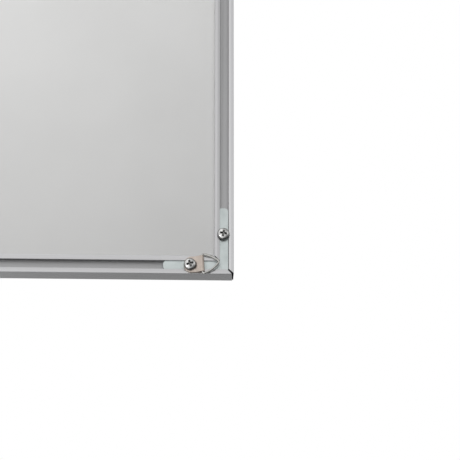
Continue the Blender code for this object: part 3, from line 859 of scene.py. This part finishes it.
def paperMesh():
    # a slightly wavy sheet: its middle surface is the product of two long waves plus a share of a third one
    # that runs aslant, and it is given its thickness after
    look = packLook
    low, high = boxOf("poster_sheet")
    across, up = look["paperSteps"]
    x, z = np.meshgrid(np.linspace(low[0], high[0], across + 1), np.linspace(low[2], high[2], up + 1))
    crossed = np.sin(x / look["waveAcross"] + look["waveShift"]) * np.cos(z / look["waveUp"])
    aslant = look["aslantShare"] * np.sin((x + z) / look["waveAslant"])
    y = (low[1] + high[1]) / 2 + look["paperWave"] * (crossed + aslant) / (1 + look["aslantShare"])
    sheet = meshOf(np.stack([x, y, z], axis=-1).reshape(-1, 3), gridQuads(*x.shape, wrap=False))
    return baked(sheet, [("SOLIDIFY", {"thickness": (high[1] - low[1]) * mm, "offset": 0})])


def addPack():
    look = packLook
    board = sheetMesh("backing_board", look["boardEdge"])
    finishes = [coatedFinish(), fibrousFinish("hardboard_core", look["core"])]
    finishPiece("hardboard_back", board, finishes, "backing_board", boardParts(board))
    glazing = sheetMesh("glazing_sheet", look["sheetEdge"])
    finishPiece("acrylic_front", glazing, [acrylicFinish()], "glazing_sheet")
    paper = fibrousFinish("matt_paper", look["paper"])
    finishPiece("blank_paper", paperMesh(), [paper], "poster_sheet", weighted=False)
    print("board, paper and acrylic made")


# Floor, lamps, world and camera

stageLook = {
    "floorColour": (0.80, 0.80, 0.80), "floorRoughness": 0.8, "floorSize": 12.0,
    # the floor's own light to the camera, near and far, and the metres from the frame between which it grows
    "nearGlow": 0.46, "farGlow": 0.76, "glowFrom": 0.6, "glowTo": 2.4,
    "ambient": 0.30, "mirrorDark": 0.07,
    # what metal sees of the room's bright sides: the way to each, the cosines at which it starts and is
    # full, and its level
    "brightSides": (
        ((0.25, 0.75, -0.61), 0.20, 0.95, 1.08), ((0.60, -0.50, 0.60), 0.30, 0.90, 0.40),
        ((-0.33, -0.94, 0.0), 0.50, 0.95, 0.22), ((0.0, 0.0, 1.0), 0.10, 0.90, 0.19),
        ((0.33, 0.60, 0.72), 0.92, 0.99, 0.50),
    ),
}
white = (1.0, 1.0, 1.0, 1.0)


def addFloor():
    # pale floor, which glows to the camera and in mirrors, and turns white further out
    look = stageLook
    half, level = look["floorSize"] / 2, cadBox[0].z
    mesh = bpy.data.meshes.new("floor")
    square = [(-half, -half, level), (half, -half, level), (half, half, level), (-half, half, level)]
    mesh.from_pydata(square, [], [(0, 1, 2, 3)])
    finish, tree, shader = newFinish("pale_floor")
    shader.inputs["Base Color"].default_value = (*look["floorColour"], 1.0)
    shader.inputs["Roughness"].default_value = look["floorRoughness"]
    shader.inputs["Emission Color"].default_value = white
    place = addNode(tree, "ShaderNodeTexCoord").outputs["Object"]
    away = addNode(tree, "ShaderNodeVectorMath", {0: place}, operation="LENGTH").outputs["Value"]
    glow = between(tree, away, look["nearGlow"], look["farGlow"], look["glowFrom"], look["glowTo"])
    seen = seenBy(tree, "Is Camera Ray", "Is Glossy Ray", "Is Transmission Ray")
    tree.links.new(mathOf(tree, "MULTIPLY", seen, glow), shader.inputs["Emission Strength"])
    mesh.materials.append(finish)
    floor = bpy.data.objects.new("floor", mesh)
    bpy.context.scene.collection.objects.link(floor)
    return floor


def addWorld():
    # white to the camera, dim to matt surfaces, and to metal a grey room with soft bright sides: each adds a
    # level that climbs evenly with the cosine between a ray and the way to that side
    look = stageLook
    world = bpy.data.worlds.new("white_room")
    world.use_nodes = True
    world.cycles.sampling_method = "NONE"
    tree = world.node_tree
    tree.nodes.clear()
    way = addNode(tree, "ShaderNodeTexCoord").outputs["Generated"]
    mirrored = look["mirrorDark"]
    for side, start, full, level in look["brightSides"]:
        inputs = {0: way, 1: Vector(side).normalized()}
        cosine = addNode(tree, "ShaderNodeVectorMath", inputs, operation="DOT_PRODUCT").outputs["Value"]
        mirrored = mathOf(tree, "ADD", mirrored, between(tree, cosine, 0.0, level, start, full))
    lit = mixOf(tree, seenBy(tree, "Is Glossy Ray"), look["ambient"], mirrored)
    strength = mixOf(tree, seenBy(tree, "Is Camera Ray", "Is Transmission Ray"), lit, 1.0)
    light = addNode(tree, "ShaderNodeBackground", {"Color": white, "Strength": strength})
    addNode(tree, "ShaderNodeOutputWorld", {"Surface": light.outputs[0]})
    bpy.context.scene.world = world


# places, aims and sizes in metres, powers in watts
lampLook = {
    "back_lamp": {"place": (0.0, 0.4, 0.15), "aim": (0.0, 0.0, 0.15), "size": (0.5, 0.9), "power": 2.72},
    "fill_lamp": {"place": (0.0, 0.5, -0.32), "aim": (0.0, 0.0, -0.32), "size": (0.5, 0.4), "power": 1.1},
    "front_lamp": {"place": (0.7, -1.9, 0.6), "aim": (0.0, 0.0, 0.0), "size": (1.4, 1.4), "power": 19.0},
    "glint_lamp": {"place": (-0.45, 0.83, -0.09), "aim": (-0.3, 0.0, 0.45), "size": (0.18, 0.18),
                   "power": 0.6},
}
mirroredLamp = "glint_lamp"  # the only one that metal shows
nearLamps = ("back_lamp", "fill_lamp", "glint_lamp")


def addLamps(floor):
    # the lamps behind the frame stand close to the floor and leave it out, so that it keeps one even tone
    unlit = bpy.data.collections.new("floor_left_out")
    unlit.objects.link(floor)
    unlit.collection_objects[0].light_linking.link_state = "EXCLUDE"
    for name, look in lampLook.items():
        data = bpy.data.lights.new(name, "AREA")
        data.shape = "RECTANGLE"
        data.size, data.size_y = look["size"]
        data.energy = look["power"]
        lamp = bpy.data.objects.new(name, data)
        lamp.location = look["place"]
        way = Vector(look["aim"]) - Vector(look["place"])
        lamp.rotation_euler = way.to_track_quat("-Z", "Y").to_euler()
        lamp.visible_camera = False
        lamp.visible_glossy = name == mirroredLamp
        lamp.visible_transmission = False
        if name in nearLamps:
            lamp.light_linking.receiver_collection = unlit
        bpy.context.scene.collection.objects.link(lamp)


cameraLook = {
    "tilt": 19.426, "swing": -1.909,  # degrees
    "lens": 203.48, "sensor": 36.0,  # millimetres
    "cornerInView": (2.691, -31.186, -1837.1),  # millimetres from the camera to the frame's outer back corner
    "clip": (0.05, 60.0),  # metres
}


def addCamera():
    # the camera looks at the back with the frame's top to its right, and is tilted to show the left rail's
    # outer face
    look = cameraLook
    corner = Vector((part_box("rail_left")[0].x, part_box("rail_left")[1].y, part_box("rail_top")[1].z))
    level = Matrix(((0, 1, 0), (0, 0, 1), (1, 0, 0))).to_4x4()
    swing = Matrix.Rotation(math.radians(look["swing"]), 4, "Y")
    tilt = Matrix.Rotation(math.radians(look["tilt"]), 4, "X")
    data = bpy.data.cameras.new("camera")
    data.lens = look["lens"]
    data.sensor_width = look["sensor"]
    data.clip_start, data.clip_end = look["clip"]
    camera = bpy.data.objects.new("camera", data)
    bpy.context.scene.collection.objects.link(camera)
    pose = level @ swing @ tilt
    pose.translation = corner - pose.to_3x3() @ (Vector(look["cornerInView"]) * mm)
    camera.matrix_world = pose
    bpy.context.scene.camera = camera


addRails()
addBrackets()
addScrews()
addStraps()
addRings()
addPack()
floor = addFloor()
addWorld()
addLamps(floor)
addCamera()
bpy.context.scene.view_settings.view_transform = "Standard"
print("stage, lamps and camera made")
